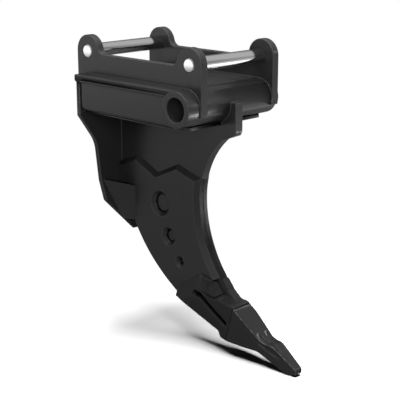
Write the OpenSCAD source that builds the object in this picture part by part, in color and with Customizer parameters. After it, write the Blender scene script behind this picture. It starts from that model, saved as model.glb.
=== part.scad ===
// Pin-on excavator ripper: two hitch ears on a torsion box, one curved shank
// stiffened by cheek plates, and a cast adapter with a replaceable tooth.
// The origin lies on the front hitch pin axis, midway between the two ears.
// +X points forward (the way the tooth points), +Y to the left, +Z up.

/* [Hitch] */
// Distance between the two hitch pin axes
pin_centres = 440; // [380:1:500]
// Diameter of the hitch pins
pin_d = 42; // [36:0.5:46]
// How far each pin end stands proud of its ear
pin_proud = 2; // [1:0.5:6]
// Chamfer on the pin ends
pin_chamfer = 3; // [1:0.5:6]
// Clear gap between the two ears
ear_gap = 274; // [240:1:300]
// Thickness of an ear plate
ear_t = 25; // [18:1:32]
// Outer radius of an ear around each pin
ear_r = 49.5; // [40:0.5:60]
// Drop of the saddle between the two lobes, below the pin axes
saddle_drop = 6; // [0:1:20]
// Blend radius from a lobe into the saddle
saddle_r = 25; // [15:1:35]
// Reach of the ear's front toe below the cross tube's axis
toe_reach = 22; // [10:1:36]
// Wall of the ear's front toe ahead of the cross tube
toe_wall = 3.3; // [2:0.1:10]

/* [Torsion box] */
// Drop of the top plate's upper face below the pin axes
plate_drop = 68; // [60:1:90]
// Thickness of the top plate
plate_t = 19; // [14:1:26]
// Thickness left at the top plate's front edge, where it is coped round the tube
plate_lip = 3; // [2:0.5:8]
// Overhang of the top plate behind the rear pin axis
plate_behind = 13; // [8:1:30]
// Width of the box over its side rails
frame_w = 366; // [340:1:400]
// Shift of the box and shank to the right of the ears' mid plane
shank_offset = 24; // [0:1:30]
// Thickness of a side rail
rail_t = 20; // [14:1:26]
// Space between the back plate and the rear end of a side rail
rail_gap = 11; // [4:1:30]
// Radius of a side rail's lower rear corner
rail_corner_r = 20; // [8:1:30]
// Rounding along a side rail's lower outer edge
rail_edge_r = 8; // [3:1:12]
// Setback of the side rail's lower front end from the tube axis
rail_front = 20; // [12:1:30]
// Thickness of the bottom plate
bottom_t = 9; // [6:1:14]
// Front edge of the bottom plate, ahead of the tube axis
bottom_ahead = 19; // [8:1:30]
// Corner cut at the front of the bottom plate
bottom_cut = 21; // [10:1:30]
// Lap of the bottom plate under each side rail
bottom_lap = 2; // [1:0.5:8]

/* [Cross tube] */
// Outer diameter of the cross tube
tube_d = 106; // [90:1:114]
// Bore of the cross tube
tube_bore = 70; // [50:1:80]
// Setback of the tube axis behind the front pin
tube_behind = 7; // [0:1:16]
// How far the tube ends stand proud of the side rails
tube_proud = 3; // [1:0.5:8]

/* [Back plate] */
// Thickness of the back plate
back_t = 16; // [12:1:22]
// Setback of the back plate's rear face behind the rear pin axis
back_behind = 7; // [2:1:12]
// Step in from the box side to the back plate's edge
back_inset = 2; // [1:0.5:8]
// Drop of the shoulders below the pin axes
shoulder_drop = 194; // [186:1:215]
// Lean of the shoulder edge from the vertical
shoulder_lean = 35; // [28:1:40]
// Width of the neck at the bend
neck_w = 206; // [180:1:230]
// Lean of the neck edge from the vertical
neck_lean = 6.5; // [2:0.5:10]
// Blend radius from shoulder to neck
neck_r = 105; // [60:1:120]
// Drop of the bend line below the pin axes
bend_drop = 408; // [390:1:430]
// Forward lean of the tail below the bend
bend_angle = 20; // [12:1:26]
// Length of the tail before its corners are cut back to the shank
tail_straight = 66; // [40:1:80]
// Angle of the tail's corner cuts from its own length
tail_cut = 38.5; // [32:0.5:45]

/* [Shank] */
// Thickness of the shank
shank_t = 30; // [24:1:40]
// Reach of the nose in front of the front pin axis
nose_ahead = 65; // [58:1:80]
// Drop of the nose's upper edge below the pin axes
nose_top_drop = 115; // [105:1:130]
// Drop of the nose's front lower corner below the pin axes
nose_low_drop = 199; // [192:1:206]
// Corner cut at the bottom of the nose
nose_cut = 12; // [4:1:14]
// Setback of the waist, the rearmost point of the hollow front edge
waist_behind = 79; // [60:1:100]
// Drop of the waist below the pin axes
waist_drop = 422; // [412:1:435]
// Radius of the front edge above the waist
upper_r = 248; // [240:1:260]
// Radius of the front edge below the waist
lower_r = 355; // [330:1:380]
// Sweep of the front edge above the waist
upper_sweep = 51.5; // [48:0.5:54]
// Sweep of the front edge below the waist, down to the adapter
lower_sweep = 40.5; // [36:0.5:44]
// Radius of the bowed rear edge
rear_r = 530; // [400:10:900]
// Length of the tail that the shank lies against before its rear edge bows away
rear_leave = 90; // [70:1:110]

/* [Cheek plates] */
// Thickness of a cheek plate
cheek_t = 15; // [10:1:20]
// Width of the welded bevel from a cheek's outer face down to the shank's edge
cheek_bevel = 15; // [8:1:18]
// Square land left under the bevel, against the shank
cheek_land = 1; // [0.5:0.5:3]
// Drop of the two peaks along the cheek's upper edge
cheek_peak_drop = 330; // [310:1:345]
// Depth of the trough between the two peaks
cheek_trough = 41; // [20:1:60]
// Fall of the upper edge from a peak to the back plate or the front edge
cheek_fall = 29; // [15:1:40]
// Distance of the rear peak from the back plate
cheek_rear_peak = 80; // [60:1:100]
// Distance of the front peak from the back plate
cheek_front_peak = 261; // [245:1:280]
// Outer diameters of the three plug weld holes, from the top down
plug_d = [82, 60, 38];
// Diameters of the three plug weld holes at the shank
plug_floor_d = [52, 31, 9];
// Sweep angles of the three holes below the waist
plug_sweep = [4.8, 16.6, 26.6];
// Insets of the three hole centres from the hollow front edge
plug_inset = [162, 144, 125];

/* [Gussets] */
// Thickness of a gusset
gusset_t = 11; // [8:1:16]
// Turn of the gusset from the shank's own plane, seen from above
gusset_turn = 41; // [34:1:48]
// Height of a gusset
gusset_h = 107; // [80:1:115]
// Fall of the gusset's upper edge towards the shank
gusset_fall = 11; // [4:1:16]
// Distance of the gusset's outer end from the shank's mid plane
gusset_out = 98; // [85:1:102]

/* [Adapter] */
// Lean of the tooth axis below the horizontal
tooth_lean = 15; // [10:1:20]
// Width of the adapter over its two legs
leg_w = 76; // [70:1:84]
// Crest of a leg: how far behind and below the end of the shank's hollow edge
leg_crest = [66, 11];
// Brow of a leg: how far behind and below the end of the shank's hollow edge
leg_brow = [0, 14];
// Rounding of the leg's crest
leg_crest_r = 40; // [20:1:50]
// Rounding of the leg's brow
leg_brow_r = 20; // [8:1:26]
// Bevel from the outside of a leg to the strap
leg_bevel = 22; // [14:1:26]
// Raised pad on the outside of each leg
pad_t = 3; // [2:0.5:6]
// Tip of the pad: how far ahead of and below the end of the shank's hollow edge
pad_tip = [20, 50];
// Distance from the end of the shank's hollow edge forward to the collar face
collar_ahead = 91; // [84:1:100]
// Height of the collar face
collar_h = 116; // [110:1:124]
// Drop of the collar's upper edge below the end of the shank's hollow edge
collar_drop = 50; // [46:1:56]
// Length of the collar's lower flange
flange_len = 23; // [16:1:30]
// Depth of the collar's lower flange
flange_h = 13; // [8:1:18]
// Distance from the end of the shank's hollow edge back to the heel
heel_behind = 143; // [130:1:155]
// Depth of the heel below the end of the shank's hollow edge
heel_drop = 138; // [130:1:144]
// Height of the heel
heel_h = 46; // [36:1:60]
// Thickness of the sole under the shank
sole_t = 22; // [16:1:28]
// Distance from the collar face back to the shank's toe
toe_behind = 51; // [44:1:60]
// Width of the strap down the front of the shank
strap_w = 30; // [24:1:34]
// Thickness of the strap
strap_t = 5; // [4:0.5:10]
// Start of the strap along the shank's front edge
strap_start = 8; // [4:1:16]
// Length of the strap along the shank's front edge
strap_len = 34; // [28:1:44]
// Step down from the strap to the collar's top face
strap_step = 3; // [1:0.5:4]
// Start of the hollow along each leg: behind and below the end of the hollow edge
hollow_at = [64, 72];
// Fall of the hollow towards the collar
hollow_fall = 14; // [8:1:18]
// Width of the hollow along each leg
hollow_w = 34; // [20:1:40]
// Depth of the hollow along each leg
hollow_d = 13; // [6:1:18]
// Length of the hollow along each leg
hollow_len = 146; // [120:1:150]

/* [Tooth] */
// Length of the tooth from the collar gap to the tip
tooth_len = 256; // [230:1:290]
// Width of the tooth at its rim
tooth_w = 76; // [70:1:84]
// Length of the tooth's straight sides behind the taper
tooth_straight = 36; // [24:1:60]
// Width of the tooth at its tip
tip_w = 28; // [20:1:40]
// Open gap between the collar and the tooth's rim
rim_gap = 2; // [1:0.5:4]
// Height of the lug above the rim's upper edge
lug_h = 5; // [3:0.5:8]
// Length of the lug at the top of the rim
lug_len = 12; // [8:1:18]
// Drop of the lug's top below the collar's upper edge
lug_drop = 6; // [2:1:10]
// Height of the tooth's hollow back above the rim's lower edge
scoop_h = 68; // [64:1:76]
// Distance of the hollow back from the rim
scoop_at = 116; // [106:1:130]
// Height of the brow across the tooth's back above the rim's lower edge
brow_h = 72; // [70:1:82]
// Distance of the brow from the rim
brow_at = 150; // [145:1:162]
// Height of the top of the tip above the rim's lower edge
tip_top = 44; // [38:1:50]
// Height of the bottom of the tip above the rim's lower edge
tip_low = 14; // [6:1:18]
// Length of the rounded tip
tip_len = 30; // [20:1:36]
// Height of the arch under the tooth above the rim's lower edge
arch_h = 30; // [16:1:34]
// Distance of the arch from the rim
arch_at = 114; // [100:1:130]
// Length of the adapter's nose inside the tooth
spigot_len = 90; // [80:1:98]
// Width of the adapter's nose inside the tooth
spigot_w = 46; // [36:1:50]
// Height of the end of the adapter's nose
spigot_end_h = 16; // [10:1:20]
// Height of the end of the adapter's nose above the rim's lower edge
spigot_rise = 43; // [38:1:46]
// Wall of the tooth over and under the nose
tooth_wall = 15; // [12:1:18]
// Diameter of the retaining pin through the nose
lock_d = 18; // [12:1:22]
// Distance of the retaining pin from the collar face
lock_ahead = 30; // [26:1:36]
// Grip of the retaining pin in the tooth's roof
lock_grip = 6; // [4:1:8]
// Recess of the retaining pin in the tooth's underside
lock_recess = 8; // [6:1:14]

/* [Fits] */
// Clearance all round a pin in its bore
pin_fit = 0.15; // [0.05:0.05:0.4]
// Joint gap where a plate is coped round the tube or round the shank
weld_gap = 0.2; // [0.1:0.05:0.5]
// Clearance all round the nose inside the tooth
spigot_fit = 0.5; // [0.2:0.1:1.5]

/* [Hidden] */
$fn = 96;
// Straight steps along each drawn arc
arc_steps = 24;
corner_steps = 8;
// Reach of a cutting shape past the solid that it cuts
over = 5;

shank_y = -shank_offset;
plate_under = -plate_drop - plate_t;
back_x = back_t - pin_centres - back_behind;
plate_rear_x = -pin_centres - plate_behind;

tube_x = -tube_behind;
tube_z = -plate_drop - tube_d / 2;
tube_len = frame_w + 2 * tube_proud;
cope_r = tube_d / 2 + weld_gap;
toe_front_x = tube_x + cope_r + toe_wall;
plate_front_x = tube_x - sqrt(pow(cope_r, 2) - pow(tube_d / 2 - plate_lip, 2));
box_low = tube_z - tube_d / 2;

// The tail: its tip on the front face, where it is as wide as the shank
bend_at = [back_x, -bend_drop];
tail_len = tail_straight + (neck_w - shank_t) / 2 / tan(tail_cut);
tail_dir = [sin(bend_angle), -cos(bend_angle)];

// The shank's hollow front edge: two arcs that meet at the waist
waist = [-waist_behind, -waist_drop];
upper_c = waist + [upper_r, 0];
lower_c = waist + [lower_r, 0];
toe_at = lower_c - lower_r * [cos(lower_sweep), sin(lower_sweep)];
rear_at = bend_at + rear_leave * tail_dir;

// The lower end is drawn in the toe frame: its first axis runs forward along
// the tooth, its second axis up, from the end of the shank's hollow edge.
function toe_pt(p) = toe_at + [p[0] * cos(tooth_lean) + p[1] * sin(tooth_lean),
                               p[1] * cos(tooth_lean) - p[0] * sin(tooth_lean)];

// The shank's front edge leaves the arc along this direction of the toe frame
front_fall = 90 - lower_sweep - tooth_lean;
front_dir = [cos(front_fall), -sin(front_fall)];
front_out = [sin(front_fall), cos(front_fall)];
collar_top = -collar_drop;
collar_low = collar_top - collar_h + flange_h;
toe_end = collar_ahead - toe_behind;
heel = [-heel_behind, -heel_drop];
// The sole runs straight from the heel to the collar
function sole_at(u) = heel[1] + (collar_low - heel[1]) * (u + heel_behind) / (collar_ahead + heel_behind);

tooth_rim = collar_ahead + rim_gap;
rim_low = collar_top - collar_h;
lug_top = collar_top - lug_drop;
roof_low = lug_top - lug_h - tooth_wall;
tip_u = tooth_rim + tooth_len;
lock_u = collar_ahead + lock_ahead;

function unit(v) = v / norm(v);
function turn(d) = d > 180 ? d - 360 : (d < -180 ? d + 360 : d);
function arc(c, r, a0, a1, n = arc_steps) =
    [for (i = [0 : n]) c + r * [cos(a0 + (a1 - a0) * i / n), sin(a0 + (a1 - a0) * i / n)]];
// Centre of the arc from p to q with radius r, on the left of the way from p to q
function bow_centre(p, q, r) =
    let (half = (q - p) / 2)
    p + half + unit([-half[1], half[0]]) * sqrt(r * r - half * half);
// Arc from p to q with radius r
function bow(p, q, r) =
    let (c = bow_centre(p, q, r),
         a0 = atan2(p[1] - c[1], p[0] - c[0]), a1 = atan2(q[1] - c[1], q[0] - c[0]))
    arc(c, r, a0, a0 + turn(a1 - a0));
// Corner p between its neighbours a and b, rounded with radius r
function corner(a, p, b, r) =
    let (to_a = unit(a - p), to_b = unit(b - p), half = acos(to_a * to_b) / 2,
         c = p + unit(to_a + to_b) * r / sin(half), t = r / tan(half),
         s = p + to_a * t - c, e = p + to_b * t - c,
         a0 = atan2(s[1], s[0]), a1 = atan2(e[1], e[0]))
    arc(c, r, a0, a0 + turn(a1 - a0), corner_steps);
function flat(p) = [p[0], p[1]];
// Outline through points [u, v, r], each corner rounded with its own radius
function rounded(pts) =
    let (n = len(pts))
    [for (i = [0 : n - 1])
        each pts[i][2] == 0 ? [flat(pts[i])]
            : corner(flat(pts[(i + n - 1) % n]), flat(pts[i]), flat(pts[(i + 1) % n]), pts[i][2])];

// The two curves that the shank and its cheeks share
front_edge = concat([for (p = arc(lower_c, lower_r, 180 + lower_sweep, 180)) p],
                    [for (p = arc(upper_c, upper_r, 180, 180 - upper_sweep)) p]);
rear_c = bow_centre(rear_at, toe_pt(heel), rear_r);
rear_edge = concat([bend_at], bow(rear_at, toe_pt(heel), rear_r));

// Plate of thickness t, drawn in the XZ plane and centred on y
module slab(t, y) {
    translate([0, y, 0])
    rotate([90, 0, 0])
    linear_extrude(height = t, center = true)
    children();
}

// Children moved from the toe frame into place on the shank
module toe_frame() {
    translate([toe_at[0], 0, toe_at[1]])
    rotate([0, tooth_lean, 0])
    children();
}

// Cone about the Y direction through c, from radius r0 at y to r1 at y + t
module cone(c, r0, r1, y, t) {
    translate([c[0], y, c[1]])
    rotate([-90, 0, 0])
    cylinder(r1 = r0, r2 = r1, h = t);
}

// Cone that bevels a round edge: radius r at y and r + b at y + t, run on past both
module bevel_cone(c, r, b, y, t) {
    grow = b * over / t;
    cone(c, r - grow, r + b + grow, y - over, t + 2 * over);
}

// Bevel to cut along the outline edge from p to q, with the solid on its right:
// nothing at y, b deep at y + t. Both ends run on by run.
module edge_bevel(p, q, b, y, t, run) {
    way = q - p;
    grow = b * over / t;
    translate([p[0], y, p[1]])
    rotate([0, -atan2(way[1], way[0]), 0])
    translate([-run, 0, 0])
    rotate([90, 0, 90])
    linear_extrude(height = norm(way) + 2 * run)
    polygon([[-over, grow], [t + over, -b - grow], [t + over, b + grow], [-over, b + grow]]);
}

// Children on the right (-1) or the left (1) of the shank's mid plane
module on_side(side) {
    translate([0, shank_y, 0])
    mirror([0, side < 0 ? 1 : 0, 0])
    children();
}

// Room that the cross tube takes, with the joint gap round it
module tube_room() {
    translate([tube_x, shank_y, tube_z])
    rotate([90, 0, 0])
    cylinder(r = cope_r, h = tube_len + 2 * over, center = true);
}

// Side view of an ear: two round lobes, a saddle, a heel, and a toe in front of the tube
module ear_outline() {
    saddle_run = sqrt(pow(ear_r + saddle_r, 2) - pow(saddle_r - saddle_drop, 2));
    blend_z = (saddle_r - saddle_drop) * ear_r / (ear_r + saddle_r);
    rear_x = -pin_centres - ear_r;
    heel_x = plate_rear_x - weld_gap;
    for (x = [0, -pin_centres])
        translate([x, 0])
        circle(r = ear_r);
    // Body below the lobes: its heel hooks down behind the top plate
    polygon([[-pin_centres, 0], [rear_x, 0], [rear_x, plate_under], [heel_x, plate_under],
             [heel_x, -plate_drop], [tube_x, -plate_drop], [tube_x, tube_z - toe_reach],
             [toe_front_x, tube_z - toe_reach], [toe_front_x, -plate_drop], [ear_r, 0], [0, 0],
             [0, -saddle_drop], [-pin_centres, -saddle_drop]]);
    difference() {
        union() {
            translate([-saddle_run, -saddle_drop])
            square([saddle_run, saddle_drop + blend_z]);
            translate([-pin_centres, -saddle_drop])
            square([saddle_run, saddle_drop + blend_z]);
        }
        for (x = [-saddle_run, saddle_run - pin_centres])
            translate([x, saddle_r - saddle_drop])
            circle(r = saddle_r);
    }
}

module ear(side) {
    color("dimgray")
    difference() {
        slab(ear_t, side * (ear_gap + ear_t) / 2) ear_outline();
        for (x = [0, -pin_centres])
            translate([x, side * (ear_gap + ear_t) / 2, 0])
            rotate([90, 0, 0])
            cylinder(r = pin_d / 2 + pin_fit, h = ear_t + 2 * over, center = true);
        tube_room();
    }
}

module hitch_pin(x) {
    reach = ear_gap / 2 + ear_t + pin_proud;
    color("silver")
    translate([x, 0, 0])
    rotate([90, 0, 0])
    union() {
        cylinder(d = pin_d, h = 2 * (reach - pin_chamfer), center = true);
        for (m = [0, 1])
            mirror([0, 0, m])
            translate([0, 0, reach - pin_chamfer])
            cylinder(d1 = pin_d, d2 = pin_d - 2 * pin_chamfer, h = pin_chamfer);
    }
}

module top_plate() {
    color("dimgray")
    difference() {
        translate([plate_rear_x, shank_y - frame_w / 2, plate_under])
        cube([plate_front_x - plate_rear_x, frame_w, plate_t]);
        tube_room();
    }
}

module side_rail(side) {
    rear_x = back_x + rail_gap;
    front_x = tube_x - rail_front;
    outer = frame_w / 2;
    edge = [[outer - rail_t, plate_under, 0], [outer - rail_t, box_low, 0],
            [outer, box_low, rail_edge_r], [outer, plate_under, 0]];
    view = [[rear_x, plate_under, 0], [rear_x, box_low, rail_corner_r],
            [front_x, box_low, 0], [front_x, plate_under, 0]];
    color("dimgray")
    difference() {
        on_side(side)
        intersection() {
            translate([rear_x, 0, 0])
            rotate([90, 0, 90])
            linear_extrude(height = front_x - rear_x)
            polygon(rounded(edge));
            slab(frame_w, frame_w / 2) polygon(rounded(view));
        }
        tube_room();
    }
}

module bottom_plate(side) {
    inner = shank_t / 2 + weld_gap;
    outer = frame_w / 2 - rail_t + bottom_lap;
    front_x = tube_x + bottom_ahead;
    color("dimgray")
    on_side(side)
    translate([0, 0, box_low - weld_gap - bottom_t])
    linear_extrude(height = bottom_t)
    polygon([[back_x, inner], [front_x, inner], [front_x, outer - bottom_cut],
             [front_x - bottom_cut, outer], [back_x, outer]]);
}

module cross_tube() {
    color("dimgray")
    translate([tube_x, shank_y, tube_z])
    rotate([90, 0, 0])
    difference() {
        cylinder(d = tube_d, h = tube_len, center = true);
        cylinder(d = tube_bore, h = tube_len + 2 * over, center = true);
    }
}

module back_plate() {
    half = frame_w / 2 - back_inset;
    neck = neck_w / 2;
    // Height above the bend where shoulder edge and neck edge cross
    shoulder_run = tan(shoulder_lean);
    neck_run = tan(neck_lean);
    rise = bend_drop - shoulder_drop;
    cross_up = (neck - half + rise * shoulder_run) / (shoulder_run - neck_run);
    cross = [neck + cross_up * neck_run, cross_up - bend_drop];
    right = [[half, plate_under, 0], [half, -shoulder_drop, 0], [cross[0], cross[1], neck_r],
             [neck, -bend_drop, 0]];
    left = [for (i = [len(right) - 1 : -1 : 0]) [-right[i][0], right[i][1], right[i][2]]];
    tail = [[neck, 0], [neck, -tail_straight], [shank_t / 2, -tail_len],
            [-shank_t / 2, -tail_len], [-neck, -tail_straight], [-neck, 0]];
    color("dimgray")
    union() {
        translate([back_x - back_t, shank_y, 0])
        rotate([90, 0, 90])
        linear_extrude(height = back_t)
        polygon(rounded(concat(right, left)));
        translate([back_x, shank_y, -bend_drop])
        rotate([0, -bend_angle, 0])
        translate([-back_t, 0, 0])
        rotate([90, 0, 90])
        linear_extrude(height = back_t)
        polygon(tail);
        // Round outside of the bend
        translate([back_x, shank_y + neck, -bend_drop])
        rotate([90, 0, 0])
        rotate([0, 0, 180])
        rotate_extrude(angle = bend_angle)
        square([back_t, neck_w]);
    }
}

// Side view of the whole shank
module shank_outline() {
    low = [nose_ahead, -nose_low_drop];
    polygon(concat(
        [[back_x, plate_under]],
        rear_edge,
        [toe_pt([-heel_behind, sole_at(-heel_behind) + sole_t]),
         toe_pt([toe_end, sole_at(toe_end) + sole_t]),
         toe_pt(front_dir * toe_end / front_dir[0])],
        front_edge,
        [low + [-nose_cut / 2, -nose_cut], low, [nose_ahead, -nose_top_drop],
         [tube_x, -nose_top_drop], [tube_x, plate_under]]));
}

module shank() {
    color("dimgray")
    difference() {
        slab(shank_t, shank_y) shank_outline();
        tube_room();
    }
}

// Side view of an adapter leg, in the toe frame
leg_neck = [toe_end + leg_brow[1] / 2, collar_top];
leg_top = [[heel[0], heel[1] + heel_h, 0], [-leg_crest[0], -leg_crest[1], leg_crest_r],
           [-leg_brow[0], -leg_brow[1], leg_brow_r]];
leg_view = concat([[heel[0], heel[1], 0]], leg_top,
                  [[leg_neck[0], leg_neck[1], leg_brow_r], [collar_ahead, collar_top, 0],
                   [collar_ahead, collar_low, 0]]);
pad_view = concat(leg_top,
                  [[leg_neck[0], leg_neck[1] + leg_brow[1], 0], [pad_tip[0], -pad_tip[1], pad_t],
                   [-hollow_at[0], -pad_tip[1] - leg_brow[1], leg_brow_r]]);

module leg_outline() {
    polygon([for (p = rounded(leg_view)) toe_pt(p)]);
}

module cheek(side) {
    inner = shank_t / 2;
    outer = inner + cheek_t;
    peak_z = -cheek_peak_drop;
    start = asin((waist_drop - cheek_peak_drop - cheek_fall) / upper_r);
    front = concat(arc(upper_c, upper_r, 180 - start, 180),
                   arc(lower_c, lower_r, 180, 180 + lower_sweep));
    trough_x = back_x + (cheek_rear_peak + cheek_front_peak) / 2;
    top = [[back_x, peak_z - cheek_fall], [back_x + cheek_rear_peak, peak_z],
           [trough_x, peak_z - cheek_trough], [back_x + cheek_front_peak, peak_z], front[0]];
    // The bevel starts above a square land
    foot = inner + cheek_land;
    slope_t = cheek_t - cheek_land;
    color("dimgray")
    on_side(side)
    difference() {
        slab(cheek_t, (inner + outer) / 2)
        difference() {
            polygon(concat(top, front, [for (i = [len(rear_edge) - 1 : -1 : 0]) rear_edge[i]]));
            leg_outline();
        }
        // Bevels along the upper edge, which meet in a mitre at the trough
        for (i = [0 : len(top) - 2])
            intersection() {
                edge_bevel(top[i], top[i + 1], cheek_bevel, foot + weld_gap, slope_t, cheek_bevel);
                translate([i < 2 ? trough_x - neck_w : trough_x - weld_gap, 0, -waist_drop])
                cube([neck_w + weld_gap, 2 * outer, waist_drop]);
            }
        // Bevels along the hollow front edge, above and below the waist
        intersection() {
            bevel_cone(upper_c, upper_r, cheek_bevel, foot, slope_t);
            translate([-upper_r, 0, waist[1]])
            cube([2 * upper_r, 2 * outer, upper_r]);
        }
        intersection() {
            bevel_cone(lower_c, lower_r, cheek_bevel, foot, slope_t);
            translate([-lower_r, 0, waist[1] - 2 * lower_r])
            cube([2 * lower_r, 2 * outer, 2 * lower_r]);
        }
        // Bevel along the bowed rear edge
        difference() {
            translate([rear_at[0] - rear_r, inner, rear_at[1] - rear_r])
            cube([2 * rear_r, cheek_t + over, rear_r]);
            bevel_cone(rear_c, rear_r, -cheek_bevel, foot, slope_t);
        }
        for (i = [0 : len(plug_d) - 1])
            cone(lower_c - (lower_r + plug_inset[i]) * [cos(plug_sweep[i]), sin(plug_sweep[i])],
                 plug_floor_d[i] / 2, plug_d[i] / 2, inner, cheek_t);
    }
}

module gusset(side) {
    inner = shank_t / 2 + cheek_t;
    run = (gusset_out - inner) / sin(gusset_turn);
    fall = tan(gusset_fall);
    reach = run + gusset_h;
    color("dimgray")
    on_side(side)
    difference() {
        translate([back_x, gusset_out, -bend_drop])
        rotate([0, 0, -gusset_turn])
        rotate([90, 0, 0])
        linear_extrude(height = gusset_t)
        polygon([[-run, 0], [0, 0], [reach, -reach * fall], [reach, -reach * fall - gusset_h],
                 [-run, -gusset_h]]);
        // Face of the leaning tail
        translate([back_x, -neck_w, -bend_drop])
        rotate([0, -bend_angle, 0])
        translate([-neck_w, 0, -2 * neck_w])
        cube([neck_w, 3 * neck_w, 3 * neck_w]);
        // Face of the cheek plate
        translate([back_x - neck_w, inner - 2 * neck_w, -bend_drop - 2 * gusset_h])
        cube([3 * neck_w, 2 * neck_w, 3 * gusset_h]);
    }
}

// Side view of the adapter's nose in the toe frame, grown by a clearance
function spigot_view(gap) =
    let (end_u = collar_ahead + spigot_len + gap, end_v = rim_low + spigot_rise)
    [[collar_ahead - over, rim_low + tooth_wall - gap], [end_u, end_v - gap],
     [end_u, end_v + spigot_end_h + gap], [collar_ahead - over, roof_low + gap]];

module lock_bore() {
    translate([lock_u, shank_y, rim_low - over])
    cylinder(r = lock_d / 2 + pin_fit, h = roof_low + lock_grip - rim_low + over);
}

module adapter() {
    start = front_dir * strap_start;
    end = front_dir * (strap_start + strap_len);
    inner = strap_w / 2;
    color("dimgray")
    difference() {
        toe_frame() {
            difference() {
                union() {
                    slab(leg_w, shank_y) polygon(rounded(leg_view));
                    slab(leg_w + 2 * pad_t, shank_y)
                    intersection() {
                        polygon(rounded(pad_view));
                        polygon(rounded(leg_view));
                    }
                }
                for (side = [-1, 1])
                    on_side(side)
                    edge_bevel(-leg_brow, leg_neck, leg_bevel, inner, leg_w / 2 - inner, leg_brow_r);
            }
            // Strap down the front of the shank, with a step down to the collar
            slab(strap_w, shank_y)
            polygon([start, start + front_out * strap_t, end + front_out * strap_t,
                     end + front_out * (strap_t - strap_step), [collar_ahead, collar_top],
                     [collar_ahead, collar_low], [toe_end, collar_low],
                     front_dir * toe_end / front_dir[0]]);
            // Flange under the collar
            slab(leg_w, shank_y)
            polygon([[collar_ahead - flange_len - flange_h, sole_at(collar_ahead - flange_len - flange_h)],
                     [collar_ahead - flange_len, rim_low], [collar_ahead, rim_low],
                     [collar_ahead, collar_low]]);
            slab(spigot_w, shank_y) polygon(spigot_view(0));
        }
        slab(shank_t + 2 * weld_gap, shank_y) shank_outline();
        toe_frame() lock_bore();
        for (side = [-1, 1])
            toe_frame()
            on_side(side)
            translate([-hollow_at[0], leg_w / 2, -hollow_at[1]])
            rotate([0, hollow_fall, 0])
            rotate([90, 0, 90])
            linear_extrude(height = hollow_len)
            polygon([[over, 0], [-hollow_d, 0], [over, -hollow_w]]);
    }
}

module tooth() {
    side_view = [[tooth_rim, rim_low, 0], [tooth_rim, lug_top - lug_h, 0],
                 [tooth_rim + over, lug_top, over / 2], [tooth_rim + lug_len, lug_top, over],
                 [tooth_rim + scoop_at, rim_low + scoop_h, 2 * lug_len],
                 [tooth_rim + brow_at - lug_len, rim_low + scoop_h, lug_len / 2],
                 [tooth_rim + brow_at, rim_low + brow_h, lug_len / 2],
                 [tooth_rim + brow_at + lug_len, rim_low + brow_h, lug_len],
                 [tip_u - over, rim_low + tip_top, over],
                 [tip_u, rim_low + (tip_top + tip_low) / 2, over],
                 [tip_u - tip_len, rim_low + tip_low, over],
                 [tooth_rim + arch_at, rim_low + arch_h, arch_at / 2]];
    plan = [[tooth_rim, tooth_w / 2, 0], [tooth_rim + tooth_straight, tooth_w / 2, tooth_w],
            [tip_u, tip_w / 2, 0], [tip_u, -tip_w / 2, 0],
            [tooth_rim + tooth_straight, -tooth_w / 2, tooth_w], [tooth_rim, -tooth_w / 2, 0]];
    color("dimgray")
    toe_frame()
    difference() {
        intersection() {
            slab(tooth_w, shank_y) polygon(rounded(side_view));
            translate([0, shank_y, rim_low - over])
            linear_extrude(height = collar_h + 2 * over)
            polygon(rounded(plan));
        }
        slab(spigot_w + 2 * spigot_fit, shank_y) polygon(spigot_view(spigot_fit));
        lock_bore();
    }
}

module tooth_pin() {
    color("silver")
    toe_frame()
    translate([lock_u, shank_y, rim_low + lock_recess])
    cylinder(d = lock_d, h = roof_low + lock_grip - rim_low - lock_recess - pin_fit);
}

ear(-1);  // ear_right
ear(1);  // ear_left
hitch_pin(0);  // front_pin
hitch_pin(-pin_centres);  // rear_pin
top_plate();
side_rail(-1);  // side_rail_right
side_rail(1);  // side_rail_left
bottom_plate(-1);  // bottom_plate_right
bottom_plate(1);  // bottom_plate_left
cross_tube();
back_plate();
shank();
cheek(-1);  // cheek_right
cheek(1);  // cheek_left
gusset(-1);  // gusset_right
gusset(1);  // gusset_left
adapter();
tooth();
tooth_pin();
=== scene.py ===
import math

import bmesh
import bpy
import numpy as np
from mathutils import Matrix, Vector
from mathutils.bvhtree import BVHTree


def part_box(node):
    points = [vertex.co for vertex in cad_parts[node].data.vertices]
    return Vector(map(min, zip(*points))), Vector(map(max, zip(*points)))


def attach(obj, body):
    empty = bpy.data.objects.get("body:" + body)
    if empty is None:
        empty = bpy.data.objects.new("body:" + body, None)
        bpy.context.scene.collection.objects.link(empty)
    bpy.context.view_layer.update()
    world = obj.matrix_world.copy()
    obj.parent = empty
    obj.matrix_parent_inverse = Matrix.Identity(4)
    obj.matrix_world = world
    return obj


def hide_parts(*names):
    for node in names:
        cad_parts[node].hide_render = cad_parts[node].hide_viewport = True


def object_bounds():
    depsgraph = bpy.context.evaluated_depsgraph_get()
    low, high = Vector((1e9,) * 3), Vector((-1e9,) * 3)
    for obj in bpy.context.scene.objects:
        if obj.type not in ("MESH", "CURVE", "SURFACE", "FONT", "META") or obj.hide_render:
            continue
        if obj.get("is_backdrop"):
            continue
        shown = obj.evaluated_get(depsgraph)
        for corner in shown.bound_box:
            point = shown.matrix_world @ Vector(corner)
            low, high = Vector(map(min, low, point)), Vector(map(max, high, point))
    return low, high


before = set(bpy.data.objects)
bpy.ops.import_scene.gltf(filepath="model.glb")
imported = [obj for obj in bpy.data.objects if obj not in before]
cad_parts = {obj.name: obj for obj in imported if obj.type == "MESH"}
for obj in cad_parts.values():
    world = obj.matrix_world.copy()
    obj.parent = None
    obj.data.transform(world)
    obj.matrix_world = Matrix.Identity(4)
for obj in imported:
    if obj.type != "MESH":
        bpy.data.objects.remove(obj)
cad_low, cad_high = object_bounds()


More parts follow.
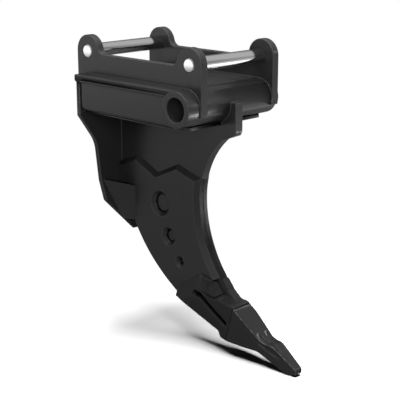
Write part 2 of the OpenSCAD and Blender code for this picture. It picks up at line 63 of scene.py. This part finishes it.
# The hitch ears: two flame-cut steel plates of 25 mm that stand on the torsion box.
# Their edges are ground round before the whole weldment is powder coated in satin black.
class Signal:
    """One value in a shader tree. Arithmetic on it adds Math nodes to the same tree."""

    def __init__(self, tree, socket=None):
        self.tree = tree
        self.socket = socket

    def node(self, kind, settings=None, values=None, out=0):
        made = self.tree.nodes.new(kind)
        for key, value in (settings or {}).items():
            if key == "stops":
                ramp = made.color_ramp
                while len(ramp.elements) < len(value):
                    ramp.elements.new(1.0)
                for element, (place, shade) in zip(ramp.elements, value):
                    element.position = place
                    element.color = (shade, shade, shade, 1.0)
            else:
                setattr(made, key, value)
        for key, value in (values or {}).items():
            if isinstance(value, Signal):
                self.tree.links.new(value.socket, made.inputs[key])
            else:
                made.inputs[key].default_value = value
        return Signal(self.tree, made.outputs[out] if made.outputs else None)

    def maths(self, operation, first, second):
        return self.node("ShaderNodeMath", {"operation": operation}, {0: first, 1: second})

    def __add__(self, other):
        return self.maths("ADD", self, other)

    def __sub__(self, other):
        return self.maths("SUBTRACT", self, other)

    def __rsub__(self, other):
        return self.maths("SUBTRACT", other, self)

    def __mul__(self, other):
        return self.maths("MULTIPLY", self, other)

    __radd__ = __add__
    __rmul__ = __mul__


def new_finish(name):
    """An empty material and the start of its shader expressions."""
    finish = bpy.data.materials.new(name)
    finish.use_nodes = True
    finish.node_tree.nodes.clear()
    return finish, Signal(finish.node_tree)


def grain(start, where, scale, detail=2.0):
    """Noise of about 1 / scale metres over the piece, from 0 to 1."""
    return start.node("ShaderNodeTexNoise", {"noise_dimensions": "3D"},
                      {"Vector": where, "Scale": scale, "Detail": detail, "Roughness": 0.55})


def coat_of(name, dark, light, rough, gloss, peel, cast, edge_wear_and_highlight=None):
    """Satin coat: peel is the depth of its fine texture, cast that of the metal under it.

    A worn colour, partly wear and partly a painted highlight, shows where a dense skin turns over a
    sharp edge.
    """
    finish, start = new_finish(name)
    where = start.node("ShaderNodeTexCoord", out=3)
    cloud = grain(start, where, 6.0, 3.0)
    mottle = grain(start, where, 45.0)
    fine = grain(start, where, 700.0, 1.0)
    lumps = grain(start, where, 160.0, 4.0)
    tone = start.node("ShaderNodeMix", {"data_type": "RGBA"},
                      {"Factor": cloud * 0.6 + mottle * 0.4, "A": (*dark, 1.0), "B": (*light, 1.0)},
                      out=2)
    # Sharp edges take the worn colour, speckled by the lumps: partly wear, partly a painted
    # highlight.
    if edge_wear_and_highlight:
        sharp = start.node("ShaderNodeNewGeometry", out=7)
        edge_wear_and_highlight_mask = start.node("ShaderNodeMapRange", None,
                            {"Value": sharp + lumps * 0.08, "From Min": 0.57, "From Max": 0.62})
        tone = start.node("ShaderNodeMix", {"data_type": "RGBA"},
                          {"Factor": edge_wear_and_highlight_mask, "A": tone, "B": (*edge_wear_and_highlight, 1.0)}, out=2)
    height = fine * peel + lumps * cast
    bump = start.node("ShaderNodeBump", None,
                      {"Strength": 1.0, "Distance": 0.001, "Height": height})
    shader = start.node("ShaderNodeBsdfPrincipled", None,
                        {"Base Color": tone, "Roughness": mottle * 0.10 + (rough - 0.05),
                         "Specular IOR Level": gloss, "Normal": bump})
    start.node("ShaderNodeOutputMaterial", None, {"Surface": shader})
    return finish


black_coat = coat_of("satin_black_coat", (0.0215, 0.0215, 0.0218), (0.0265, 0.0265, 0.0270),
                     0.31, 0.5, 0.03, 0.0)
# Lighter colour for the rounded edges: partly the thinner coat over an edge, partly a painted
# highlight along it.
edge_coat_with_painted_highlight = coat_of("thin_coat_and_painted_highlight_on_edges", (0.035, 0.035, 0.035), (0.060, 0.060, 0.060),
                    0.30, 0.5, 0.02, 0.0)


def node_mesh(node, weld):
    """A joined copy of the node's triangles, with flat faces whole again."""
    body = bmesh.new()
    body.from_mesh(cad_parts[node].data)
    bmesh.ops.remove_doubles(body, verts=body.verts, dist=weld)
    bmesh.ops.dissolve_degenerate(body, edges=body.edges, dist=weld / 2)
    bmesh.ops.dissolve_limit(body, angle_limit=math.radians(0.4), verts=body.verts,
                             edges=body.edges, delimit=set())
    return body


def place(body, name, finish, slot, *nodes):
    """A piece from a mesh under construction, which stands for the named nodes."""
    mesh = bpy.data.meshes.new(name)
    body.to_mesh(mesh)
    body.free()
    mesh.materials.clear()
    mesh.materials.append(finish)
    piece = bpy.data.objects.new(name, mesh)
    bpy.context.scene.collection.objects.link(piece)
    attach(piece, "root")
    if nodes:
        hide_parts(*nodes)
    return piece


surfaces = {}
for node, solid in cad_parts.items():
    corners = [v.co for v in solid.data.vertices]
    surfaces[node] = BVHTree.FromPolygons(corners, [f.vertices[:] for f in solid.data.polygons])


def against_neighbour(node, point):
    """Whether the point of the node's surface lies on another solid."""
    return any(tree.find_nearest(point, 0.0009)[0] is not None
               for other, tree in surfaces.items() if other != node)


unwelded = ("front_pin", "rear_pin", "cheek_right", "cheek_left", "adapter", "tooth", "tooth_pin")
seams = {0.0035: [], 0.002: []}


def has_corner(node, line, point, size):
    """Whether a bead fits between this plate's edge and the plate it stands on."""
    for other, tree in surfaces.items():
        if other == node or other in unwelded:
            continue
        under, up, _, _ = tree.find_nearest(point, 0.0009)
        if under is None:
            continue
        for face in line.link_faces:
            beyond = point + face.normal * size * 1.4
            room = point + (face.normal + up) * size
            if abs(face.normal.dot(up)) < 0.6 and tree.find_nearest(beyond, 0.0012)[0] is not None:
                return all(solid.find_nearest(room, 0.7 * size)[0] is None
                           for solid in surfaces.values())
    return False


def plate(node, edge, weld=0.0004, finish=black_coat, slot="black_paint"):
    """The node's plate with every free outer edge rounded over by edge."""
    body = node_mesh(node, weld)
    weight = body.edges.layers.float.new("bevel_weight_edge")
    for line in body.edges:
        turned = line.is_manifold and line.calc_face_angle_signed(0.0) > math.radians(25)
        middle = (line.verts[0].co + line.verts[1].co) / 2
        on_plate = turned and against_neighbour(node, middle)
        line[weight] = 1.0 if turned and not on_plate else 0.0
        start, end = (corner.co for corner in line.verts)
        samples = [start.lerp(end, part) for part in (0.1, 0.5, 0.9)]
        for size, lines in seams.items():
            if on_plate and node not in unwelded and all(
                    has_corner(node, line, sample, size) for sample in samples):
                lines.append((start.copy(), end.copy()))
                break
    for face in body.faces:
        face.smooth = True
    piece = place(body, node + "_plate", finish, slot, node)
    # Second slot for the rounded edges, whose lighter colour is partly thin coat and partly a
    # painted highlight along each edge.
    piece.data.materials.append(edge_coat_with_painted_highlight if finish is black_coat else finish)
    bevel = piece.modifiers.new("rounded edges", "BEVEL")
    bevel.width = edge
    bevel.material = 1
    bevel.segments = 3
    bevel.limit_method = "WEIGHT"
    bevel.use_clamp_overlap = False
    bevel.loop_slide = True
    normals = piece.modifiers.new("flat faces", "WEIGHTED_NORMAL")
    normals.weight = 80
    normals.keep_sharp = True
    return piece


for side in ("right", "left"):
    plate("ear_" + side, 0.0025)


# The two hitch pins: hardened bar, ground and hard chromed, pressed through both ears.
# Each end is faced on the lathe and chamfered.
def turned_chrome():
    finish, start = new_finish("hard_chrome")
    where = start.node("ShaderNodeTexCoord", out=3)
    along = start.node("ShaderNodeSeparateXYZ", None, {"Vector": where}, out=1)
    smear = grain(start, where, 30.0)
    rings = start.node("ShaderNodeTexNoise", {"noise_dimensions": "1D"},
                       {"W": along, "Scale": 900.0, "Detail": 3.0})
    bump = start.node("ShaderNodeBump", None,
                      {"Strength": 0.6, "Distance": 0.0001, "Height": rings * 0.6 + smear * 0.2})
    shader = start.node("ShaderNodeBsdfPrincipled", None,
                        {"Base Color": (0.80, 0.80, 0.81, 1.0), "Metallic": 1.0,
                         "Roughness": smear * 0.05 + 0.03, "Normal": bump})
    start.node("ShaderNodeOutputMaterial", None, {"Surface": shader})
    return finish


def turned(name, profile, centre, finish, slot, node, steps=96):
    """A lathe piece about Y from its profile of (radius, y)."""
    body = bmesh.new()
    rows = []
    for r, y in profile:
        if r == 0:
            rows.append([body.verts.new((0, y, 0))])
        else:
            turns = [2 * math.pi * i / steps for i in range(steps)]
            rows.append([body.verts.new((r * math.cos(t), y, r * math.sin(t))) for t in turns])
    for low, high in zip(rows, rows[1:]):
        for i in range(steps):
            ring = [low[i % len(low)], low[(i + 1) % len(low)],
                    high[(i + 1) % len(high)], high[i % len(high)]]
            face = body.faces.new(list(dict.fromkeys(ring)))
            face.smooth = True
    bmesh.ops.recalc_face_normals(body, faces=body.faces)
    bmesh.ops.translate(body, verts=body.verts, vec=centre)
    piece = place(body, name, finish, slot, node)
    piece.data.set_sharp_from_angle(angle=math.radians(32))
    return piece


hard_chrome = turned_chrome()
chrome_bars = []
for which in ("front", "rear"):
    low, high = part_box(which + "_pin")
    radius = (high.x - low.x) / 2
    end = (high.y - low.y) / 2
    half = [(0, end), (radius - 0.0040, end), (radius - 0.0032, end - 0.0001),
            (radius - 0.0026, end - 0.0003), (radius - 0.0004, end - 0.0026),
            (radius, end - 0.0034)]
    profile = [(r, -y) for r, y in half] + [(r, y) for r, y in reversed(half)]
    chrome_bars.append(turned(which + "_pin_bar", profile, (low + high) / 2, hard_chrome,
                              "pin_chrome", which + "_pin"))


# The torsion box: top plate, two side rails and a bottom plate in two halves,
# cut from rolled plate and welded all round.
plate("top_plate", 0.0025)
for side in ("right", "left"):
    plate("side_rail_" + side, 0.0025)
    plate("bottom_plate_" + side, 0.0015)


# The cross tube: thick-walled seamless tube across the front of the box, faced at both ends
# and welded into the copes of ears, top plate, rails and shank.
plate("cross_tube", 0.0025)


# The back plate: one bent steel plate down the back of the box and the shank.
# It narrows to a neck and a tail, and is welded to both.
plate("back_plate", 0.002)


# The shank: the curved blade that the whole tool is built on, flame-cut from 30 mm plate.
# It stands in the box, between the halves of the bottom plate, and is welded all round.
plate("shank", 0.002)


# The cheek plates: welded flat on both sides of the shank, bevelled all along their edges,
# with three coned plug weld holes each.
cheeks = [plate("cheek_" + side, 0.0012, 0.0006) for side in ("right", "left")]


# The gussets: two stiffeners of steel plate between the tail of the back plate
# and the cheek plates, cut to fit and welded in.
for side in ("right", "left"):
    plate("gusset_" + side, 0.0015)


# The welds: fillet beads laid round the plates by hand, with the ripple of each pool,
# under the same coat as the plates.
bead = bpy.data.node_groups.new("weld_bead", "GeometryNodeTree")
bead.interface.new_socket("Seams", in_out="INPUT", socket_type="NodeSocketGeometry")
for name in ("Radius", "Step", "Pitch", "Ripple"):
    bead.interface.new_socket(name, in_out="INPUT", socket_type="NodeSocketFloat")
bead.interface.new_socket("Coat", in_out="INPUT", socket_type="NodeSocketMaterial")
bead.interface.new_socket("Beads", in_out="OUTPUT", socket_type="NodeSocketGeometry")
given = {socket.name: Signal(bead, socket) for socket in bead.nodes.new("NodeGroupInput").outputs}
path = given["Seams"].node("GeometryNodeMeshToCurve", None, {"Mesh": given["Seams"]})
path = path.node("GeometryNodeResampleCurve", {"mode": "LENGTH"},
                 {"Curve": path, "Length": given["Step"]})
along = path.node("GeometryNodeSplineParameter", out="Length")
turns = path.maths("DIVIDE", along * (2 * math.pi), given["Pitch"])
wave = path.node("ShaderNodeMath", {"operation": "SINE"}, {0: turns})
path = path.node("GeometryNodeSetCurveRadius", None,
                 {"Curve": path, "Radius": 1 + wave * given["Ripple"]})
pool = path.node("GeometryNodeCurvePrimitiveCircle", None,
                 {"Resolution": 10, "Radius": given["Radius"]})
skin = path.node("GeometryNodeCurveToMesh", None,
                 {"Curve": path, "Profile Curve": pool, "Fill Caps": True})
skin = skin.node("GeometryNodeSetShadeSmooth", None, {"Geometry": skin})
skin = skin.node("GeometryNodeRealizeInstances", None, {"Geometry": skin})
skin = skin.node("GeometryNodeSetMaterial", None, {"Geometry": skin, "Material": given["Coat"]})
skin.node("NodeGroupOutput", None, {"Beads": skin})

for size, lines in seams.items():
    run = bmesh.new()
    for start, end in lines:
        run.edges.new((run.verts.new(start), run.verts.new(end)))
    bmesh.ops.remove_doubles(run, verts=run.verts, dist=0.0006)
    route = bpy.data.meshes.new("seam_lines")
    run.to_mesh(route)
    run.free()
    welder = bpy.data.objects.new("seam_lines", route)
    bpy.context.scene.collection.objects.link(welder)
    laying = welder.modifiers.new("weld bead", "NODES")
    laying.node_group = bead
    chosen = {"Radius": size, "Step": 0.0022, "Pitch": 2.2 * size, "Ripple": 0.10,
              "Coat": black_coat}
    for socket in bead.interface.items_tree:
        if socket.name in chosen:
            laying[socket.identifier] = chosen[socket.name]
    graph = bpy.context.evaluated_depsgraph_get()
    laid = bmesh.new()
    laid.from_mesh(bpy.data.meshes.new_from_object(welder.evaluated_get(graph)))
    bpy.data.objects.remove(welder)
    for corner in laid.verts:
        corner.co.y = min(max(corner.co.y, cad_low.y), cad_high.y)
    for face in laid.faces:
        face.smooth = True
    place(laid, "weld_beads_%d" % (size * 10000), black_coat, "black_paint")


# The adapter: a steel casting that straddles the toe of the shank and carries the tooth.
# It is poured in one, with soft edges, a raised pad on each leg and a deep relief below it.
# Its sharp edges turn lighter: partly wear, partly a painted highlight.
adapter_coat = coat_of("cast_black_coat", (0.0330, 0.0330, 0.0335), (0.0410, 0.0410, 0.0415),
                       0.36, 0.5, 0.05, 0.10, (0.06, 0.06, 0.06))
shank_low, shank_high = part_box("shank")
# The casting's own frame, in millimetres: u forward along the tooth, v up, w out from the shank
toe_at = np.array((0.00606, (shank_low.y + shank_high.y) / 2, -0.65255))
toe_lean = math.radians(15)
toe_axes = np.array(((math.cos(toe_lean), 0, -math.sin(toe_lean)),
                     (math.sin(toe_lean), 0, math.cos(toe_lean)), (0, 1, 0)))
leg_side = 38.0
cheek_side = 30.5
pad_rise = 3.0
groove_depth, groove_width = 6.0, 2.8
ridge_rise, ridge_width = 1.2, 1.8
rim_rise = 5.0
strap_side = 15.0
collar_from, collar_to = 79.0, 92.0
crest_width = 18.0
# Corners of the web between strap, leg and collar: u, v and w, the same on both sides
web_from, web_foot = 36.0, -55.7
web = ((web_from, -41.6, strap_side), (collar_from, -41.5, strap_side),
       (web_from, web_foot, leg_side), (collar_from, -53, leg_side),
       (web_from, -66, leg_side), (collar_from, -66, leg_side))


def ease(value, low, high):
    """0 below low, 1 above high and a smooth rise between them."""
    t = np.clip((value - low) / (high - low), 0, 1)
    return t * t * (3 - 2 * t)


def bump_at(value, width):
    """1 where the value is 0, falling off over the width on both sides."""
    return np.exp(-(value / width) ** 2)


def settled(mesh, kind, **settings):
    """The mesh after one modifier of that kind."""
    draft = bpy.data.objects.new("draft", mesh)
    bpy.context.scene.collection.objects.link(draft)
    modifier = draft.modifiers.new(kind, kind)
    for key, value in settings.items():
        setattr(modifier, key, value)
    graph = bpy.context.evaluated_depsgraph_get()
    result = bpy.data.meshes.new_from_object(draft.evaluated_get(graph))
    bpy.data.objects.remove(draft)
    return result


def casting(node, finish, slot, voxel, sculpt, soft, filler=()):
    """The node's solid as a casting: one dense skin, sculpted in the toe's frame, then softened."""
    rough = bmesh.new()
    rough.from_mesh(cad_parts[node].data)
    bmesh.ops.remove_doubles(rough, verts=rough.verts, dist=0.0001)
    if filler:
        corners = [rough.verts.new(toe_at + toe_axes.T @ (u, v, way * w) / 1000)
                   for u, v, w in filler for way in (-1, 1)]
        bmesh.ops.convex_hull(rough, input=corners)
    pattern = bpy.data.meshes.new("pattern")
    rough.to_mesh(pattern)
    rough.free()
    skin = settled(pattern, "REMESH", mode="VOXEL", voxel_size=voxel)
    points = np.empty(len(skin.vertices) * 3)
    facing = np.empty(len(skin.vertices) * 3)
    skin.vertices.foreach_get("co", points)
    skin.vertex_normals.foreach_get("vector", facing)
    u, v, w = 1000 * toe_axes @ (points.reshape(-1, 3) - toe_at).T
    _, face_up, face_out = toe_axes @ facing.reshape(-1, 3).T
    moved = np.array(sculpt(u, v, w, face_up, face_out * np.sign(w)))
    skin.vertices.foreach_set("co", (toe_at + (toe_axes.T @ moved).T / 1000).ravel())
    skin = settled(skin, "REMESH", mode="VOXEL", voxel_size=voxel)
    skin = settled(skin, "SMOOTH", factor=0.5, iterations=soft)
    body = bmesh.new()
    body.from_mesh(skin)
    for face in body.faces:
        face.smooth = True
    return place(body, node + "_casting", finish, slot, node)


def leg_form(u, v, w, face_up, face_out):
    """The sides of both legs: pad, ridge, relief, and edges that run out onto the cheeks."""
    side = np.abs(w)
    ridge_v = np.interp(u, (-45, 10, 60, 92), (-70, -63, -56, -57))
    relief_v = np.interp(u, (-76, -68, -45, 4, 69, 80), (-80, -75, -71, -88, -105, -109))
    # The pad ends in a V whose point lies on the leg, with a groove round it
    pad_low = np.interp(u, (-64, -21, 16), (-64, -61, -54))
    in_pad = np.minimum(v - pad_low, 0.73 * (16 + 0.93 * (v + 54) - u))
    pad_here = ease(u, -44, -16)
    pad = pad_here * (pad_rise * ease(in_pad, -0.8, 0.8)
                      - groove_depth * bump_at(in_pad + 3, groove_width))
    # Up-facing bevel from the leg's side to the strap
    foot_v = np.interp(u, (-60, 40, 72, 92), (32, -44.6, -50, -50))
    slope = np.interp(u, (16, 55), (0.83, 2.4))
    bevel = strap_side + slope * (foot_v - v) + 60 * ease(u, collar_from - 4, collar_from)
    upper = np.minimum(leg_side, bevel) + pad
    lower = leg_side + ridge_rise * bump_at(v - ridge_v, ridge_width) * ease(u, -48, -30)
    over_ridge = ease(v - ridge_v, -0.8, 0.8)
    form = lower + (upper - lower) * over_ridge
    # Relief: a sharp upper edge, deepest just under it, running out downwards
    below = 0.95 * (relief_v - v)
    relief_width = np.interp(u, (-70, 75), (19, 14))
    relief_depth = np.interp(u, (-70, 75), (20, 15))
    run_out = 1 - np.clip((below - 9) / (relief_width - 8), 0, 1)
    ends = ease(u, -76, -64) * (1 - ease(u, collar_from - 2, collar_from + 1))
    form = form - relief_depth * ends * ease(below, -0.5, 3.5) * run_out
    # Rear edge and crest, which run out onto the cheek plate
    from_rear = 0.7247 * (u + 143) - 0.6889 * (v + 92)
    from_crest = -11 - 0.045 * (u + 66) - v
    form = np.minimum(form, cheek_side + 1 + 10 * ease(from_rear, -10, 100))
    crest = np.sqrt(1 - (1 - np.clip(from_crest / crest_width, 0, 1)) ** 2)
    form = np.minimum(form, cheek_side + 10 * crest)
    # An arched rim stands up under the crest and dies out downwards
    arch = np.interp(u, (-83, -61, -40, -13), (-29, -12, -9, -12)) - v
    rim = ease(arch, 0, 7) * np.exp(-np.maximum(arch - 7, 0) / 22)
    form = form + rim_rise * rim * ease(u, -68, -45) * (1 - ease(u, -30, -6))
    form = np.maximum(form, strap_side + 1)
    in_relief = (v < ridge_v) & (below < relief_width + 3) & (u > -76) & (u < collar_from + 1)
    shaped = np.where((face_out > 0.3) | in_relief, form, np.minimum(side, form))
    on_web = (u > web_from) & (u < collar_from) & (v > web_foot - 1.5)
    on_leg = (side > strap_side + 2) & (u < collar_to) & ~on_web
    # The strap ends in a step down to the collar
    strap_v = np.interp(u, (28, 36, 39, 78, 80.5, 92), (-13.2, -18.7, -22.5, -39.5, -48.5, -50))
    on_strap = (side < strap_side + 1) & (face_up > 0.3) & (u > 28) & (u < collar_to) & (v > -60)
    v = np.where(on_strap, strap_v, v)
    return u, v, np.copysign(np.where(on_leg, shaped, side), w)


cast_adapter = casting("adapter", adapter_coat, "adapter_cast", 0.0015, leg_form, 4, web)


# The tooth: a replaceable cast point that slides over the adapter's nose.
# A spine runs down its back between two pockets, and a flute along each side of the blade.
# Its sharp edges turn bright grey in specks: partly wear, partly painted glints along the blade.
tooth_coat = coat_of("tooth_coat", (0.012, 0.012, 0.0130), (0.017, 0.017, 0.0190),
                     0.24, 0.5, 0.04, 0.20, (0.42, 0.43, 0.46))
pocket_depth = 6.0
flute_depth = 5.0
spine_half = 7.0
blade_from = 184.0
lip_to, lip_top = 98.0, -52.5


def blade_form(u, v, w, face_up, face_out):
    """The rear lip, and the blade ahead of the nose with its pockets and flutes."""
    side = np.abs(w)
    half = 38 - 24 * (u - 129) / 220
    across = ease(side, spine_half, spine_half + 6) * (1 - ease(side, half - 11, half - 5))
    pocket = pocket_depth * across * ease(u, blade_from, 200) * (1 - ease(u, 262, 286))
    flute_high = np.interp(u, (185, 224, 288), (-93, -100, -108))
    flute_low = np.interp(u, (185, 204, 249, 289), (-96, -114, -120, -123))
    within = ease(flute_high - v, 0, 5) * ease(v - flute_low, 0, 5)
    flute = flute_depth * within * ease(u, 186, 196) * (1 - ease(u, 272, 294))
    # A lip at the rear closes up to the adapter's collar
    on_blade = u > blade_from
    v = np.where((u < lip_to) & (face_up > 0.15), np.maximum(v, lip_top), v)
    u = np.where(u < 94, u - 1.2, u)
    v = np.where(on_blade & (face_up > 0.4), v - pocket, v)
    side = np.where(on_blade & (face_out > 0.4), side - flute, side)
    return u, v, np.copysign(side, w)


casting("tooth", tooth_coat, "tooth_cast", 0.0013, blade_form, 2)


# The retaining pin: plain bar of bright steel, driven through the tooth and the nose,
# which holds the tooth on the adapter.
plate("tooth_pin", 0.0015, 0.0001, hard_chrome, "lock_steel")


# The studio: a pale floor under the tooth's point, a soft box overhead and a camera
# at the height of the hitch, forward and to the right of it.
floor_z = cad_low.z - 0.0005
floor_mesh = bpy.data.meshes.new("studio_floor")
reach = 14.0
floor_mesh.from_pydata([(-reach, -reach, floor_z), (reach, -reach, floor_z),
                        (reach, reach, floor_z), (-reach, reach, floor_z)], [], [(0, 1, 2, 3)])
floor = bpy.data.objects.new("studio_floor", floor_mesh)
bpy.context.scene.collection.objects.link(floor)
floor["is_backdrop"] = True
pale, start = new_finish("pale_floor")
camera_ray = start.node("ShaderNodeLightPath", out=0)
glossy_ray = start.node("ShaderNodeLightPath", out=3)
where = start.node("ShaderNodeTexCoord", out=3)
away = start.node("ShaderNodeVectorMath", {"operation": "DISTANCE"},
                  {0: where, 1: (0.0, 0.0, floor_z)}, out=1)
far = start.node("ShaderNodeMapRange", {"interpolation_type": "SMOOTHSTEP"},
                 {"Value": away, "From Min": 0.5, "From Max": 1.0})
tint = start.node("ShaderNodeMix", {"data_type": "RGBA"},
                  {"Factor": camera_ray, "A": (0.50, 0.50, 0.50, 1.0),
                   "B": (2.66, 2.66, 2.66, 1.0)}, out=2)
# Mirrored rays see a room with a bright panel to the left and one to the right of the camera,
# one overhead in front, one high behind the object, and greyer walls between them
left_way = (-0.72, -0.68, 0.0)
right_way = (0.72, 0.68, 0.0)
front_way = (-0.15, -0.60, 0.78)
back_way = (0.20, 0.60, 0.775)
wall_level = 0.28


def towards(signal, way, panel, low, high):
    """1 along the panel's direction, falling to 0 where the cosine drops from high to low."""
    cosine = signal.node("ShaderNodeVectorMath", {"operation": "DOT_PRODUCT"},
                         {0: way, 1: panel}, out=1)
    return signal.node("ShaderNodeMapRange", {"interpolation_type": "SMOOTHSTEP"},
                       {"Value": cosine, "From Min": low, "From Max": high})


outward = start.node("ShaderNodeVectorMath", {"operation": "NORMALIZE"}, {0: where})
matt = start.node("ShaderNodeBsdfDiffuse", None, {"Color": tint})
white = start.node("ShaderNodeEmission", None, {"Color": (1.0, 1.0, 1.0, 1.0), "Strength": 1.0})
left_far = start.node("ShaderNodeMapRange", {"interpolation_type": "SMOOTHSTEP"},
                      {"Value": away, "From Min": 3.2, "From Max": 7.0,
                       "To Min": 0.06, "To Max": 1.0})
right_near = start.node("ShaderNodeMapRange", {"interpolation_type": "SMOOTHSTEP"},
                        {"Value": away, "From Min": 1.6, "From Max": 3.2,
                         "To Min": 1.5, "To Max": 0.25})
lit_floor = (wall_level + towards(start, outward, left_way, 0.2, 0.9) * left_far
             + towards(start, outward, right_way, 0.4, 0.9) * right_near)
walls = start.node("ShaderNodeEmission", None, {"Color": lit_floor, "Strength": 1.0})
seen = start.node("ShaderNodeMixShader", None, {0: far * camera_ray, 1: matt, 2: white})
both = start.node("ShaderNodeMixShader", None, {0: far * glossy_ray, 1: seen, 2: walls})
# Light that comes back from a matt surface finds a dark floor: painted shade that keeps the shadow
# deep
returned = start.maths("MINIMUM", start.node("ShaderNodeLightPath", out="Diffuse Depth"), 1.0)
shadow_deepening_floor = start.node("ShaderNodeBsdfDiffuse", None, {"Color": (0.02, 0.02, 0.02, 1.0)})
deep = start.node("ShaderNodeMixShader", None, {0: returned, 1: both, 2: shadow_deepening_floor})
start.node("ShaderNodeOutputMaterial", None, {"Surface": deep})
floor_mesh.materials.append(pale)

world = bpy.data.worlds.new("studio")
bpy.context.scene.world = world
world.use_nodes = True
world.node_tree.nodes.clear()
sky = Signal(world.node_tree)
seen = sky.node("ShaderNodeLightPath", out=0)
mirrored = sky.maths("MAXIMUM", sky.node("ShaderNodeLightPath", out=3),
                     sky.node("ShaderNodeLightPath", out=6))
way = sky.node("ShaderNodeTexCoord", out=0)
height = sky.node("ShaderNodeSeparateXYZ", None, {"Vector": way}, out=2)
low_down = sky.node("ShaderNodeValToRGB",
                    {"stops": [(0.0, 1.0), (0.15, 0.9), (0.45, 0.45), (1.0, 0.35)]},
                    {"Fac": height})
ambient = 0.002
room = ((wall_level + 0.15 * towards(sky, way, left_way, 0.55, 0.95)) * low_down
        + 0.38 * towards(sky, way, back_way, 0.6, 0.95)
        + 0.30 * towards(sky, way, front_way, 0.45, 0.85))
level = sky.maths("MAXIMUM", seen, ambient + mirrored * (room - ambient))
glow = sky.node("ShaderNodeBackground", None, {"Color": level, "Strength": 1.0})
sky.node("ShaderNodeOutputWorld", None, {"Surface": glow})


def soft_box(name, place_at, target, size, power):
    """A rectangular lamp at a place, turned to its target."""
    lamp = bpy.data.lights.new(name, "AREA")
    lamp.shape = "RECTANGLE"
    lamp.size, lamp.size_y = size
    lamp.energy = power
    light = bpy.data.objects.new(name, lamp)
    bpy.context.scene.collection.objects.link(light)
    light.location = place_at
    light.rotation_euler = (Vector(target) - Vector(place_at)).to_track_quat("-Z", "Y").to_euler()
    light.visible_camera = False
    return light


soft_box("overhead", (0.05, -0.1, 2.0), (0.05, -0.1, -0.9), (2.2, 2.2), 80).visible_glossy = False
# The fill from behind is flagged off the floor and the pins, the other lamps off the adapter too
def flagged_off(lamps, *pieces):
    """Keeps the lamps' light off the named pieces."""
    flag = bpy.data.collections.new("flagged_off")
    for piece in pieces:
        flag.objects.link(piece)
    for held in flag.collection_objects:
        held.light_linking.link_state = "EXCLUDE"
    for lamp in lamps:
        lamp.light_linking.receiver_collection = flag


edge_top = soft_box("edge_top", (0.05, -0.1, 2.0), (0.05, -0.1, -0.9), (2.4, 2.4), 120)
edge_top.visible_diffuse = False
fill_front = soft_box("fill_front", (2.0, -2.1, 0.6), (-0.1, 0, -0.4), (1.5, 1.5), 55)
fill_front.visible_glossy = False
fill_back = soft_box("fill_back", (-2.0, 2.1, 0.6), (-0.1, 0, -0.4), (1.5, 1.5), 70)
fill_back.visible_glossy = False
low_back = soft_box("low_back", (0.47, 0.54, -0.55), (-0.08, 0, -0.45), (0.12, 0.12), 1.0)
high_back = soft_box("high_back", (1.1, 1.45, 0.36), (0.2, 0, -0.7), (0.3, 0.3), 1.2)
flagged_off([fill_back], floor, *chrome_bars)
flagged_off([edge_top, fill_front, high_back], floor, cast_adapter, *chrome_bars)
flagged_off([low_back], floor, cast_adapter, *cheeks, *chrome_bars)

eye = bpy.data.cameras.new("eye")
eye.sensor_width = 36.0
eye.lens = 96.12
camera = bpy.data.objects.new("eye", eye)
bpy.context.scene.collection.objects.link(camera)
camera.location = (2.10329, -2.23606, 0.42635)
camera.rotation_euler = (math.radians(74.61), 0, math.radians(44.80))
bpy.context.scene.camera = camera
bpy.context.scene.view_settings.view_transform = "Standard"

low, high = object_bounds()
